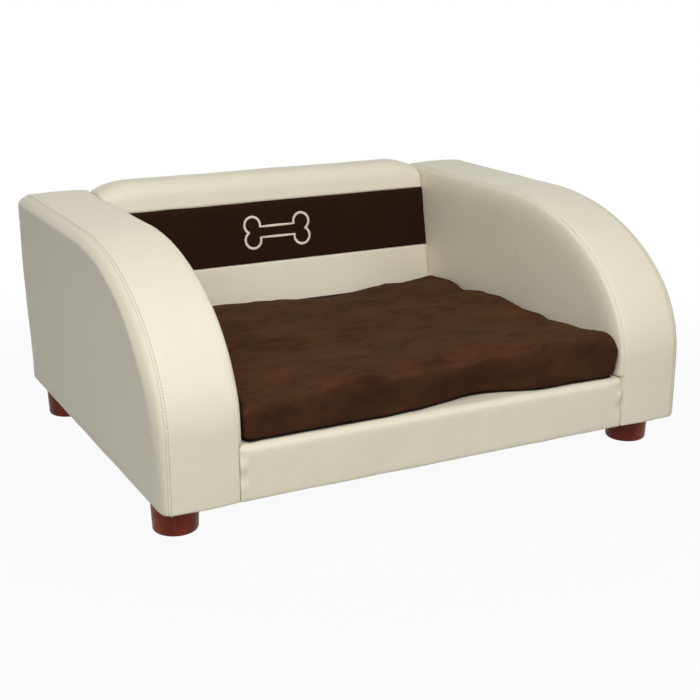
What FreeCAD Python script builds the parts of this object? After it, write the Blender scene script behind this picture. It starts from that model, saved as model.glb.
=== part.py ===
# Dog sofa: an upholstered bed for a pet, on a plywood frame with two curved arms, a back,
# a loose cushion and four turned feet.
#
# Millimetres. +X is to the right of a viewer who faces the sofa, +Y is towards its back and
# +Z is up. The origin is on the floor, under the middle of the body.
# Left and right are as that viewer sees them, so the left arm is on the -X side.
#
# The body is built in layers. Each arm is one outline, drawn again and again at a growing
# inset: cover, foam, web, board. The back is done in the same way with a sloping outline.
import FreeCAD, Part
import math
import os
from types import SimpleNamespace

import Sketcher

# ---------------------------------------------------------------- driving dimensions
SIZES = {
    # outside of the whole sofa
    "overall_width": 762,
    "overall_depth": 596,
    "arm_height": 328,
    "back_height": 339,
    "seat_height": 115,
    # layers
    "cover": 1.2,
    "dust_cloth": 1,
    "dust_cloth_inset": 11,
    "side_foam": 12,
    "top_foam": 10,
    "deck_foam": 10,
    "web": 3,
    "ply": 9,
    "timber": 18,
    # arms
    "arm_front_height": 135,
    "arm_reach": 288,
    "side_bulge": 8,
    "side_roll_flat": 0.5,
    "strip_width": 90.5,
    "arm_corner_radius": 15,
    "bearer_depth": 84,
    "curve_bearer_front": 78,
    "curve_bearer_depth": 60,
    "curve_bearer_height": 50,
    # seat
    "rail_roll_radius": 9,
    "rail_cover_return": 98,
    "bearer_width": 30,
    "bearer_height": 20,
    "deck_gap": 1,
    # back
    "back_base_depth": 98,
    "back_top_depth": 57,
    "back_side_gap": 0.3,
    "back_foam": 25,
    "back_top_foam": 20,
    "back_front_radius": 36,
    "back_rear_radius": 12,
    "back_rail_height": 50,
    "back_rail_thickness": 14,
    "band_drop": 44,
    "band_height": 92,
    # feet
    "foot_height": 43.5,
    "foot_top_radius": 30,
    "foot_low_radius": 28,
    "foot_edge_radius": 4,
    "foot_nut_gap": 4.55,
    "foot_front_inset": 62,
    "foot_floor": 14,
    "foot_block_length": 70,
    "foot_block_height": 30,
    # fasteners: an M8 stud in each foot, M6 bolts between the arms and the rest
    "stud_radius": 4,
    "stud_proud": 4,
    "bolt_radius": 3,
    "bolt_proud": 8,
    "bolt_head_radius": 6,
    "bolt_head_height": 3.5,
    "bolt_socket_radius": 2.3,
    "bolt_socket_depth": 2,
    "nut_wall": 1.2,
    "nut_flange": 5,
    "nut_flange_thickness": 1.2,
    "nut_barrel": 7,
    "thread_gap": 0.05,
    "seat_bolt_inset": 148,
    "seat_bolt_rise": 17.5,
    "back_bolt_rise": 45,
    "back_bolt_drop": 79,
    # loose cushion
    "cushion_side_gap": 3.5,
    "cushion_front_gap": 10,
    "cushion_rear_gap": 8,
    "cushion_lift": 0.3,
    "cushion_height": 56.7,
    "cushion_cloth": 1,
    "cushion_corner_radius": 30,
    "cushion_edge_radius": 15,
    # zip in the rear side of the cushion
    "zip_end_gap": 3,
    "zip_tape_width": 20,
    "zip_height": 17,
    "zip_tape": 1,
    "zip_stop": 6,
    "coil_width": 3,
    "coil": 1.6,
    "slider_length": 12,
    "slider_width": 12,
    "slider": 3.7,
    "slider_play": 0.3,
    "pull_length": 18,
    "pull_width": 8,
    "pull": 1.2,
    "pull_bridge": 0.6,
    # how far a cutting shape runs past what it cuts
    "overrun": 5,
}


# ---------------------------------------------------------------- sizes that carry their expression
def number(item):
    return item.value if isinstance(item, Size) else item


def words(item):
    return item.text if isinstance(item, Size) else repr(item)


class Size:
    """A number of millimetres, together with the sheet expression that gives it."""

    def __init__(self, value, text):
        self.value = value
        self.text = text

    def __add__(self, other):
        return Size(self.value + number(other), f"({self.text} + {words(other)})")

    def __radd__(self, other):
        return Size(number(other) + self.value, f"({words(other)} + {self.text})")

    def __sub__(self, other):
        return Size(self.value - number(other), f"({self.text} - {words(other)})")

    def __rsub__(self, other):
        return Size(number(other) - self.value, f"({words(other)} - {self.text})")

    def __mul__(self, other):
        return Size(self.value * number(other), f"({self.text} * {words(other)})")

    __rmul__ = __mul__

    def __truediv__(self, other):
        return Size(self.value / number(other), f"({self.text} / {words(other)})")

    def __neg__(self):
        return Size(-self.value, f"(0 - {self.text})")


doc = FreeCAD.newDocument("DogSofa")
sheet = doc.addObject("Spreadsheet::Sheet", "Sizes")
for row, (alias, millimetres) in enumerate(SIZES.items(), start=1):
    sheet.set(f"A{row}", alias)
    sheet.set(f"B{row}", str(millimetres))
    sheet.setAlias(f"B{row}", alias)
doc.recompute()
S = SimpleNamespace(**{alias: Size(value, f"Sizes.{alias}") for alias, value in SIZES.items()})

# ---------------------------------------------------------------- stations worked out from the sizes
# Distances from the middle, outwards.
half_width = S.overall_width / 2
half_depth = S.overall_depth / 2
outer_seam = half_width - S.side_bulge
inner_seam = outer_seam - S.strip_width
inner_face = inner_seam - S.side_bulge
outer_board_face = half_width - S.cover - S.side_foam
outer_board_back = outer_board_face - S.ply
inner_board_face = inner_face + S.cover + S.side_foam
inner_board_back = inner_board_face + S.ply
side_rail_face = inner_board_face - S.timber

# Insets of the arm's outline, from its outer surface inwards.
web_inset = S.cover + S.top_foam
board_inset = web_inset + S.web

# Heights.
frame_low = S.foot_height + S.dust_cloth
deck_lining_low = S.seat_height - S.cover
deck_foam_low = deck_lining_low - S.deck_foam
deck_low = deck_foam_low - S.ply
block_top = frame_low + S.foot_block_height
arm_board_top = S.arm_height - board_inset
band_high = S.back_height - S.band_drop
band_low = band_high - S.band_height
back_frame_top = S.back_height - S.cover - S.back_top_foam

# Along the depth.
body_front = S.cover - half_depth
rail_front = body_front + S.top_foam
rail_back = rail_front + S.timber
body_rear = half_depth - S.cover
rear_rail_front = body_rear - S.timber
back_base = half_depth - S.back_base_depth
back_slope = (S.back_base_depth - S.back_top_depth) / (S.back_height - S.seat_height)
cover_seam = S.rail_cover_return - half_depth

# Layers of the back, as distances behind its front surface.
back_board_front = S.cover + S.back_foam
back_board_rear = back_board_front + S.ply
back_half_width = inner_face - S.back_side_gap
back_frame_half_width = back_half_width - S.cover

# Radii of the fasteners' holes, barrels and flanges.
bolt_hole_radius = S.bolt_radius + S.thread_gap
bolt_barrel_radius = bolt_hole_radius + S.nut_wall
bolt_flange_radius = bolt_barrel_radius + S.nut_flange
stud_hole_radius = S.stud_radius + S.thread_gap
stud_barrel_radius = stud_hole_radius + S.nut_wall
stud_flange_radius = stud_barrel_radius + S.nut_flange

# Places of the feet and of the bolts through the seat's side rails.
foot_x = outer_board_back - stud_flange_radius - S.foot_nut_gap
foot_y = half_depth - S.foot_front_inset
seat_bolt_y = half_depth - S.seat_bolt_inset
seat_bolt_z = frame_low + S.seat_bolt_rise
seat_bolt_places = ((-seat_bolt_y, seat_bolt_z), (seat_bolt_y, seat_bolt_z))

# Cushion.
cushion_low = S.seat_height + S.cushion_lift
cushion_cover_low = cushion_low + S.cushion_cloth
cushion_top = cushion_low + S.cushion_height
cushion_half_width = inner_face - S.cushion_side_gap
cushion_front = S.cushion_front_gap - half_depth
cushion_rear = back_base - S.cushion_rear_gap


def back_front(height):
    """Where the sloping front surface of the back is, at a height."""
    return back_base + (height - S.seat_height) * back_slope


# The back's bolts pass between its board, which a head must clear, and the rear edge of the
# arm's board, which a flange must not overhang.
back_bolt_low = S.seat_height + S.back_bolt_rise
back_bolt_high = S.back_height - S.back_bolt_drop
head_limit = back_front(back_bolt_high) + back_board_rear + S.bolt_head_radius
flange_limit = half_depth - board_inset - bolt_flange_radius
back_bolt_y = (head_limit + flange_limit) / 2
back_bolt_places = ((back_bolt_y, back_bolt_low), (back_bolt_y, back_bolt_high))


# ---------------------------------------------------------------- ways to make a shape
PIECES = []


def piece(thing):
    """Count an object as one named piece of the sofa, to be checked and written."""
    PIECES.append(thing)
    return thing


def box(name, x, y, z):
    """A box between a low and a high station along each axis."""
    block = doc.addObject("Part::Box", name)
    for side, corner, (low, high) in zip(("Length", "Width", "Height"), "xyz", (x, y, z)):
        block.setExpression(side, words(high - low))
        block.setExpression(f"Placement.Base.{corner}", words(low))
    return block


def rod(name, radius, along, x, y, z):
    """A cylinder along X or Z: the pair of stations is its length, the others its middle."""
    shaft = doc.addObject("Part::Cylinder", name)
    if along == "x":
        shaft.Placement.Rotation = FreeCAD.Rotation(FreeCAD.Vector(0, 1, 0), 90)
        low, high = x
        base = (low, y, z)
    else:
        low, high = z
        base = (x, y, low)
    shaft.setExpression("Radius", words(radius))
    shaft.setExpression("Height", words(high - low))
    for corner, station in zip("xyz", base):
        shaft.setExpression(f"Placement.Base.{corner}", words(station))
    return shaft


def group(name, things):
    pack = doc.addObject("Part::Compound", name)
    pack.Links = things
    return pack


def fuse(name, things):
    whole = doc.addObject("Part::MultiFuse", name)
    whole.Shapes = things
    return whole


def cut(name, base, *tools):
    rest = doc.addObject("Part::Cut", name)
    rest.Base = base
    rest.Tool = tools[0] if len(tools) == 1 else group(name + "_tools", list(tools))
    return rest


def common(name, first, second):
    shared = doc.addObject("Part::Common", name)
    shared.Base = first
    shared.Tool = second
    return shared


def mirrored(name, source):
    """The same piece on the other side of the sofa."""
    twin = doc.addObject("Part::Mirroring", name)
    twin.Source = source
    twin.Normal = (1, 0, 0)
    return twin


def mirror_span(side, low, high):
    """Turn two distances from the middle into a low and a high X on one side."""
    return (low, high) if side > 0 else (-high, -low)


def new_sketch(body, plane, offset):
    """A sketch on one of the body's own planes, moved along the plane's normal."""
    sketch = body.newObject("Sketcher::SketchObject", body.Name + "_outline")
    origin_plane = next(item for item in body.Origin.OriginFeatures if item.Role == plane)
    sketch.AttachmentSupport = [(origin_plane, "")]
    sketch.MapMode = "FlatFace"
    sketch.setExpression(".AttachmentOffset.Base.z", words(offset))
    return sketch


def pin(sketch, kind, curve, point, station, name):
    """Hold one point of a sketch at a station measured from the origin."""
    if not isinstance(station, Size) and station == 0:
        axis = -2 if kind == "DistanceX" else -1
        sketch.addConstraint(Sketcher.Constraint("PointOnObject", curve, point, axis))
        return
    rule = Sketcher.Constraint(kind, -1, 1, curve, point, number(station))
    index = sketch.addConstraint(rule)
    sketch.renameConstraint(index, name)
    if isinstance(station, Size):
        sketch.setExpression(f"Constraints.{name}", station.text)


def polygon(sketch, corners):
    """Straight lines from corner to corner, each corner pinned at its two stations."""
    points = [FreeCAD.Vector(number(across), number(up), 0) for across, up in corners]
    lines = []
    for start, end in zip(points, points[1:] + points[:1]):
        lines.append(sketch.addGeometry(Part.LineSegment(start, end)))
    for line, following in zip(lines, lines[1:] + lines[:1]):
        sketch.addConstraint(Sketcher.Constraint("Coincident", line, 2, following, 1))
    for line, (across, up) in zip(lines, corners):
        pin(sketch, "DistanceX", line, 1, across, f"across_{line}")
        pin(sketch, "DistanceY", line, 1, up, f"up_{line}")


def arm_outline(sketch, inset, low):
    """The arm seen from the side: square at the rear, a quarter ellipse at the top front."""
    front = inset - half_depth
    rear = half_depth - inset
    top = S.arm_height - inset
    middle_y = S.arm_reach - half_depth
    middle_z = S.arm_front_height
    corner = {
        "crown": (middle_y, top),
        "rear_top": (rear, top),
        "rear_low": (rear, low),
        "front_low": (front, low),
        "front_bend": (front, middle_z),
    }
    spot = {name: FreeCAD.Vector(number(y), number(z), 0) for name, (y, z) in corner.items()}
    centre = FreeCAD.Vector(number(middle_y), number(middle_z), 0)
    ellipse = Part.Ellipse(centre, number(middle_y - front), number(top - middle_z))
    curve = sketch.addGeometry(Part.ArcOfEllipse(ellipse, math.pi / 2, math.pi))
    order = ("crown", "rear_top", "rear_low", "front_low", "front_bend")
    lines = []
    for start, end in zip(order, order[1:]):
        lines.append(sketch.addGeometry(Part.LineSegment(spot[start], spot[end])))
    top_line, rear_line, low_line, front_line = lines
    sketch.exposeInternalGeometry(curve)
    major_axis = front_line + 1
    for first, second in zip(lines, lines[1:]):
        sketch.addConstraint(Sketcher.Constraint("Coincident", first, 2, second, 1))
    sketch.addConstraint(Sketcher.Constraint("Coincident", curve, 1, top_line, 1))
    sketch.addConstraint(Sketcher.Constraint("Coincident", front_line, 2, curve, 2))
    for level in (top_line, low_line, major_axis):
        sketch.addConstraint(Sketcher.Constraint("Horizontal", level))
    for upright in (rear_line, front_line):
        sketch.addConstraint(Sketcher.Constraint("Vertical", upright))
    sketch.addConstraint(Sketcher.Constraint("Vertical", curve, 3, curve, 1))
    sketch.addConstraint(Sketcher.Constraint("Horizontal", curve, 3, curve, 2))
    pin(sketch, "DistanceX", curve, 3, middle_y, "middle_y")
    pin(sketch, "DistanceY", curve, 3, middle_z, "middle_z")
    pin(sketch, "DistanceX", front_line, 2, front, "front")
    pin(sketch, "DistanceX", rear_line, 1, rear, "rear")
    pin(sketch, "DistanceY", top_line, 1, top, "top")
    pin(sketch, "DistanceY", low_line, 1, low, "low")


def new_body(name):
    return doc.addObject("PartDesign::Body", name)


def pad(body, sketch, length):
    """Thicken a sketch along its normal."""
    slab = body.newObject("PartDesign::Pad", body.Name + "_pad")
    slab.Profile = sketch
    slab.setExpression("Length", words(length))
    sketch.Visibility = False
    doc.recompute()
    return slab


def round_edges(body, feature, radius, wanted):
    """Fillet the edges of the last feature whose start, middle and end all pass a test."""
    names = []
    for index, edge in enumerate(feature.Shape.Edges, start=1):
        first, last = edge.ParameterRange
        marks = [edge.valueAt(first + (last - first) * share) for share in (0, 0.5, 1)]
        if all(wanted(mark) for mark in marks):
            names.append(f"Edge{index}")
    if not names:
        raise ValueError(f"{body.Name}: no edge to round")
    fillet = body.newObject("PartDesign::Fillet", body.Name + "_round")
    fillet.Base = (feature, names)
    fillet.setExpression("Radius", words(radius))
    doc.recompute()
    return fillet


def near(value, station):
    return abs(value - number(station)) < 0.01


def prism(name, plane, corners, start, length):
    """A straight-sided body: corners on one of the origin planes, thickened from a station."""
    body = new_body(name)
    sketch = new_sketch(body, plane, start)
    polygon(sketch, corners)
    pad(body, sketch, length)
    return body


# ---------------------------------------------------------------- arms, built on the left
def arm_slab(name, inset, x, low, rolled_face=None):
    """A slice of the arm between two stations, its outline inset from the arm's surface.

    The outermost layers have a rounded rear top corner, and a rolled rim on one face.
    """
    body = new_body(name)
    sketch = new_sketch(body, "YZ_Plane", x[0])
    arm_outline(sketch, inset, low)
    feature = pad(body, sketch, x[1] - x[0])
    if number(inset) > number(S.cover):
        return body
    rear = half_depth - inset
    top = S.arm_height - inset
    feature = round_edges(
        body,
        feature,
        S.arm_corner_radius - inset,
        lambda mark: near(mark.y, rear) and near(mark.z, top),
    )
    if rolled_face is None:
        return body

    def on_rim(mark):
        """On the rolled face, but not along the middle of its lower edge, which stays square."""
        inside_low_edge = near(mark.z, low) and abs(mark.y) < number(rear) - 1
        return near(mark.x, rolled_face) and not inside_low_edge

    round_edges(body, feature, S.side_bulge - S.side_roll_flat - inset, on_rim)
    return body


def x_holes(name, places, x, radius):
    """Cylinders along X that cut holes for the bolts, at a list of places."""
    holes = []
    for index, (y, z) in enumerate(places):
        holes.append(rod(f"{name}_hole_{index}", radius, "x", x, y, z))
    return holes


no_inset = S.cover * 0
left_outer_foam = arm_slab(
    "left_arm_outer_foam",
    S.cover,
    (S.cover - half_width, -outer_board_face),
    frame_low + S.cover,
    S.cover - half_width,
)
left_outer_skin = arm_slab(
    "left_arm_outer_skin", no_inset, (-half_width, -outer_seam), frame_low, -half_width
)
left_outer_cover = cut("left_arm_outer_cover", left_outer_skin, left_outer_foam)



def above(name, solid, height):
    """What is left of an arm's layer above a height, where it stands on the seat."""
    seat_side = box(
        name + "_trim",
        (-half_width - S.overrun, -inner_face + S.overrun),
        (-half_depth - S.overrun, half_depth + S.overrun),
        (frame_low - S.overrun, height),
    )
    return cut(name, solid, seat_side)


inner_foam_x = (-inner_board_face, -(inner_face + S.cover))
left_inner_foam_slab = arm_slab(
    "left_arm_inner_foam_slab", S.cover, inner_foam_x, frame_low, inner_foam_x[1]
)
left_inner_foam_solid = above(
    "left_arm_inner_foam_solid", left_inner_foam_slab, S.seat_height + S.cover
)
left_inner_slab = arm_slab(
    "left_arm_inner_slab", no_inset, (-inner_seam, -inner_face), frame_low, -inner_face
)
left_inner_skin = above("left_arm_inner_skin", left_inner_slab, S.seat_height)
left_inner_shell = cut("left_arm_inner_shell", left_inner_skin, left_inner_foam_solid)
inner_hole_x = (-inner_board_back - S.overrun, S.overrun - inner_face)
left_inner_foam = cut(
    "left_arm_inner_foam",
    left_inner_foam_solid,
    *x_holes("left_inner_foam", back_bolt_places, inner_hole_x, bolt_barrel_radius),
)
left_inner_cover = cut(
    "left_arm_inner_cover",
    left_inner_shell,
    *x_holes("left_inner_cover", back_bolt_places, inner_hole_x, bolt_barrel_radius),
)

left_outer_board = arm_slab(
    "left_arm_outer_board", board_inset, (-outer_board_face, -outer_board_back), frame_low
)
left_inner_blank = arm_slab(
    "left_arm_inner_blank", board_inset, (-inner_board_back, -inner_board_face), frame_low
)
left_inner_board = cut(
    "left_arm_inner_board",
    left_inner_blank,
    *x_holes(
        "left_inner_board", seat_bolt_places + back_bolt_places, inner_hole_x, bolt_barrel_radius
    ),
)


def arm_band(name, outer_inset, inner_inset, x):
    """A layer that runs up the front of the arm, over its top and down its rear."""
    outside = arm_slab(name + "_outside", outer_inset, x, frame_low)
    inside_x = (x[0] - S.overrun, x[1] + S.overrun)
    inside = arm_slab(name + "_inside", inner_inset, inside_x, frame_low - S.overrun)
    return cut(name, outside, inside)


left_top_strip = arm_band("left_arm_top_strip", no_inset, S.cover, (-outer_seam, -inner_seam))
board_faces = (-outer_board_face, -inner_board_face)
left_top_foam = arm_band("left_arm_top_foam", S.cover, web_inset, board_faces)
left_web = arm_band("left_arm_web", web_inset, board_inset, board_faces)

# Timber between the two boards of the arm.
bay = (-outer_board_back, -inner_board_back)
arm_front = board_inset - half_depth
arm_rear = half_depth - board_inset
bearer_low = arm_board_top - S.timber
rear_post_y = foot_y - S.foot_block_length / 2
middle_bearer_y = S.arm_reach - half_depth + S.timber
curve_y = arm_front + S.curve_bearer_front
curve_rise = (S.arm_height - S.arm_front_height) / 2
curve_low = S.arm_front_height + curve_rise
curve_trim = arm_slab("left_arm_curve_trim", board_inset, bay, frame_low)
curve_block = box(
    "left_arm_curve_block",
    bay,
    (curve_y, curve_y + S.curve_bearer_depth),
    (curve_low, curve_low + S.curve_bearer_height * 2),
)
left_battens = group(
    "left_arm_battens",
    [
        box(
            "left_front_post",
            bay,
            (arm_front, arm_front + S.timber),
            (block_top, S.arm_front_height),
        ),
        box(
            "left_rear_post",
            bay,
            (rear_post_y, rear_post_y + S.timber),
            (block_top, bearer_low),
        ),
        box(
            "left_rear_bearer",
            bay,
            (arm_rear - S.bearer_depth, arm_rear),
            (bearer_low, arm_board_top),
        ),
        box(
            "left_middle_bearer",
            bay,
            (middle_bearer_y, middle_bearer_y + S.bearer_depth),
            (bearer_low, arm_board_top),
        ),
        common("left_curve_bearer", curve_block, curve_trim),
    ],
)

# Hardwood blocks that the feet screw into.
nut_barrel_low = block_top - S.nut_barrel


def foot_block(name, y):
    middle = -foot_x
    block = box(
        name + "_blank",
        bay,
        (y - S.foot_block_length / 2, y + S.foot_block_length / 2),
        (frame_low, block_top),
    )
    through = (frame_low - S.overrun, block_top + S.overrun)
    bore = rod(name + "_bore", stud_barrel_radius, "z", middle, y, through)
    return cut(name, block, bore)


left_foot_blocks = group(
    "left_arm_foot_blocks",
    [foot_block("left_front_block", -foot_y), foot_block("left_rear_block", foot_y)],
)

LEFT_ARM = (
    left_outer_cover,
    left_top_strip,
    left_inner_cover,
    left_outer_foam,
    left_top_foam,
    left_inner_foam,
    left_web,
    left_outer_board,
    left_inner_board,
    left_battens,
    left_foot_blocks,
)
for left in LEFT_ARM:
    piece(left)
    piece(mirrored(left.Name.replace("left", "right", 1), left))

# ---------------------------------------------------------------- seat frame and deck
between_boards = (-inner_board_face, inner_board_face)
rail_height = (frame_low, deck_low)
piece(box("seat_front_rail", between_boards, (rail_front, rail_back), rail_height))
piece(box("seat_rear_rail", between_boards, (rear_rail_front, body_rear), rail_height))


def side_rail(side):
    name = "seat_left_rail" if side < 0 else "seat_right_rail"
    x = mirror_span(side, side_rail_face, inner_board_face)
    blank = box(name + "_blank", x, (rail_back, rear_rail_front), rail_height)
    through = (x[0] - S.overrun, x[1] + S.overrun)
    return cut(name, blank, *x_holes(name, seat_bolt_places, through, bolt_hole_radius))


piece(group("seat_side_rails", [side_rail(-1), side_rail(1)]))


def seat_bearer(index, count):
    """One of the bearers that cross the seat, evenly spaced between the rails."""
    middle = rail_back + (rear_rail_front - rail_back) * (index + 1) / (count + 1)
    return box(
        f"seat_bearer_{index}",
        (-side_rail_face, side_rail_face),
        (middle - S.bearer_width / 2, middle + S.bearer_width / 2),
        (deck_low - S.bearer_height, deck_low),
    )


BEARERS = 2
piece(group("seat_bearers", [seat_bearer(index, BEARERS) for index in range(BEARERS)]))
piece(box("deck_board", between_boards, (rail_front, body_rear), (deck_low, deck_foam_low)))
piece(box("front_rail_foam", between_boards, (body_front, rail_front), (frame_low, deck_foam_low)))

deck_rear = back_front(deck_foam_low) + back_board_front - S.deck_gap
deck_foam = new_body("deck_foam")
deck_sketch = new_sketch(deck_foam, "YZ_Plane", -inner_board_face)
polygon(
    deck_sketch,
    [
        (body_front, deck_foam_low),
        (deck_rear, deck_foam_low),
        (deck_rear, deck_lining_low),
        (body_front, deck_lining_low),
    ],
)
deck_pad = pad(deck_foam, deck_sketch, inner_board_face * 2)
round_edges(
    deck_foam,
    deck_pad,
    S.rail_roll_radius - S.cover,
    lambda mark: near(mark.y, body_front) and near(mark.z, deck_lining_low),
)
piece(deck_foam)

rail_cover = new_body("front_rail_cover")
rail_sketch = new_sketch(rail_cover, "YZ_Plane", -inner_seam)
polygon(
    rail_sketch,
    [
        (-half_depth, frame_low),
        (body_front, frame_low),
        (body_front, deck_lining_low),
        (cover_seam, deck_lining_low),
        (cover_seam, S.seat_height),
        (-half_depth, S.seat_height),
    ],
)
rail_pad = pad(rail_cover, rail_sketch, inner_seam * 2)
rail_outside = round_edges(
    rail_cover,
    rail_pad,
    S.rail_roll_radius,
    lambda mark: near(mark.y, -half_depth) and near(mark.z, S.seat_height),
)
round_edges(
    rail_cover,
    rail_outside,
    S.rail_roll_radius - S.cover,
    lambda mark: near(mark.y, body_front) and near(mark.z, deck_lining_low),
)
piece(rail_cover)
piece(
    box(
        "deck_lining",
        (-inner_seam, inner_seam),
        (cover_seam, deck_rear),
        (deck_lining_low, S.seat_height),
    )
)


# ---------------------------------------------------------------- back, between the arms
def back_solid(name, inset, low, half_x):
    """The whole back as one rounded block, its surface inset all round."""
    front_top = S.back_height - inset
    rear = half_depth - inset
    body = new_body(name)
    sketch = new_sketch(body, "YZ_Plane", -half_x)
    polygon(
        sketch,
        [
            (back_front(low) + inset, low),
            (rear, low),
            (rear, front_top),
            (back_front(front_top) + inset, front_top),
        ],
    )
    block = pad(body, sketch, half_x * 2)
    crest = number(back_front(front_top) + inset)
    block = round_edges(
        body,
        block,
        S.back_front_radius - inset,
        lambda mark: near(mark.y, crest) and near(mark.z, front_top),
    )
    round_edges(
        body,
        block,
        S.back_rear_radius - inset,
        lambda mark: near(mark.y, rear) and near(mark.z, front_top),
    )
    return body


def back_prism(name, near_shift, far_shift, low, top, x):
    """A board or pad that leans with the back, between two depths behind its surface."""
    corners = [
        (back_front(low) + near_shift, low),
        (back_front(low) + far_shift, low),
        (back_front(top) + far_shift, top),
        (back_front(top) + near_shift, top),
    ]
    return prism(name, "YZ_Plane", corners, x[0], x[1] - x[0])


back_skin = back_solid("back_skin", no_inset, S.seat_height, back_half_width)
back_filling = back_solid(
    "back_filling", S.cover, S.seat_height - S.overrun, back_frame_half_width
)
back_shell = cut("back_shell", back_skin, back_filling)
back_across = (-half_width, half_width)


def back_panel(name, low, high, rear, bolt_places):
    """The part of the back's cover between two heights, up to a depth."""
    slice_box = box(name + "_slice", back_across, (-half_depth, rear), (low, high))
    panel = common(name + "_blank" if bolt_places else name, back_shell, slice_box)
    if not bolt_places:
        return panel
    holes = x_holes(name, bolt_places, back_across, bolt_barrel_radius)
    return cut(name, panel, *holes)


piece(
    back_panel("back_lower_panel", S.seat_height, band_low, body_rear, back_bolt_places[:1])
)
piece(back_panel("back_band", band_low, band_high, body_rear, back_bolt_places[1:]))
piece(
    back_panel(
        "back_upper_panel", band_high, S.back_height + S.overrun, half_depth + S.overrun, ()
    )
)

# The outside back is wide below the seat, where it meets the seams of the arms.
outside_corners = [
    (-inner_seam, frame_low),
    (inner_seam, frame_low),
    (inner_seam, S.seat_height),
    (back_half_width, S.seat_height),
    (back_half_width, band_high),
    (-back_half_width, band_high),
    (-back_half_width, S.seat_height),
    (-inner_seam, S.seat_height),
]
piece(prism("outside_back_panel", "XZ_Plane", outside_corners, -half_depth, S.cover))

frame_across = (-back_frame_half_width, back_frame_half_width)
foam_slab = back_prism(
    "back_foam_slab", no_inset, back_board_front, S.seat_height, back_frame_top, frame_across
)
piece(common("back_foam", foam_slab, back_filling))
roll_box = box(
    "back_top_roll_slice", back_across, (-half_depth, half_depth), (back_frame_top, S.back_height)
)
piece(common("back_top_roll", back_filling, roll_box))
piece(
    back_prism(
        "back_board", back_board_front, back_board_rear, deck_foam_low, back_frame_top, frame_across
    )
)


def gusset(index, x, drilled):
    """An upright plate that joins the board of the back to its rear rails."""
    name = f"back_gusset_{index}"
    corners = [
        (back_front(deck_foam_low) + back_board_rear, deck_foam_low),
        (body_rear, deck_foam_low),
        (body_rear, back_frame_top),
        (back_front(back_frame_top) + back_board_rear, back_frame_top),
    ]
    plate = prism(name + "_blank" if drilled else name, "YZ_Plane", corners, x[0], x[1] - x[0])
    if not drilled:
        return plate
    through = (x[0] - S.overrun, x[1] + S.overrun)
    return cut(name, plate, *x_holes(name, back_bolt_places, through, bolt_hole_radius))


gusset_face = back_frame_half_width - S.timber
half_timber = S.timber / 2
piece(
    group(
        "back_gussets",
        [
            gusset(0, (-back_frame_half_width, -gusset_face), True),
            gusset(1, (-half_timber, half_timber), False),
            gusset(2, (gusset_face, back_frame_half_width), True),
        ],
    )
)


def back_rails(name, low, high):
    """Two rails, one each side of the middle gusset, at the rear of the back."""
    y = (body_rear - S.back_rail_thickness, body_rear)
    left = box(name + "_left", (-gusset_face, -half_timber), y, (low, high))
    right = box(name + "_right", (half_timber, gusset_face), y, (low, high))
    return group(name, [left, right])


piece(back_rails("back_top_rails", back_frame_top - S.back_rail_height, back_frame_top))
piece(back_rails("back_bottom_rails", deck_foam_low, deck_foam_low + S.back_rail_height))

# ---------------------------------------------------------------- base and feet
CORNERS = {
    "front_left": (-1, -1),
    "front_right": (1, -1),
    "rear_left": (-1, 1),
    "rear_right": (1, 1),
}

dust_sheet = box(
    "dust_sheet",
    (S.dust_cloth_inset - half_width, half_width - S.dust_cloth_inset),
    (S.dust_cloth_inset - half_depth, half_depth - S.dust_cloth_inset),
    (S.foot_height, frame_low),
)
dust_holes = [
    rod(
        f"dust_hole_{name}",
        stud_barrel_radius,
        "z",
        foot_x * across,
        foot_y * along,
        (S.foot_height - S.overrun, frame_low + S.overrun),
    )
    for name, (across, along) in CORNERS.items()
]
piece(cut("dust_cover", dust_sheet, *dust_holes))


def foot(name, x, y):
    """A turned foot: a slight taper, a rounded lower edge and a blind bore for its stud."""
    body = new_body(name)
    sketch = new_sketch(body, "XZ_Plane", no_inset)
    polygon(
        sketch,
        [
            (0, 0),
            (S.foot_low_radius, 0),
            (S.foot_top_radius, S.foot_height),
            (stud_hole_radius, S.foot_height),
            (stud_hole_radius, S.foot_floor),
            (0, S.foot_floor),
        ],
    )
    turned = body.newObject("PartDesign::Revolution", name + "_turned")
    turned.Profile = sketch
    turned.ReferenceAxis = (sketch, ["V_Axis"])
    turned.Angle = 360
    sketch.Visibility = False
    doc.recompute()
    round_edges(
        body,
        turned,
        S.foot_edge_radius,
        lambda mark: near(mark.z, 0) and near(math.hypot(mark.x, mark.y), S.foot_low_radius),
    )
    body.setExpression("Placement.Base.x", words(x))
    body.setExpression("Placement.Base.y", words(y))
    return body


stud_top = block_top + S.nut_flange_thickness + S.stud_proud
studs = []
foot_nuts = []
for name, (across, along) in CORNERS.items():
    x = foot_x * across
    y = foot_y * along
    piece(foot(f"{name}_foot", x, y))
    studs.append(rod(f"{name}_stud", S.stud_radius, "z", x, y, (S.foot_floor, stud_top)))
    flange = rod(
        f"{name}_flange",
        stud_flange_radius,
        "z",
        x,
        y,
        (block_top, block_top + S.nut_flange_thickness),
    )
    barrel_radius = stud_barrel_radius - S.thread_gap
    barrel = rod(f"{name}_barrel", barrel_radius, "z", x, y, (nut_barrel_low, block_top))
    thread = rod(
        f"{name}_thread", stud_hole_radius, "z", x, y, (frame_low, stud_top + S.overrun)
    )
    foot_nuts.append(cut(f"{name}_nut", fuse(f"{name}_nut_blank", [flange, barrel]), thread))
piece(group("foot_studs", studs))
piece(group("foot_tee_nuts", foot_nuts))

# ---------------------------------------------------------------- bolts between arms and body
flange_outer = inner_board_back + S.nut_flange_thickness
bolt_tip = flange_outer + S.bolt_proud


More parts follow.
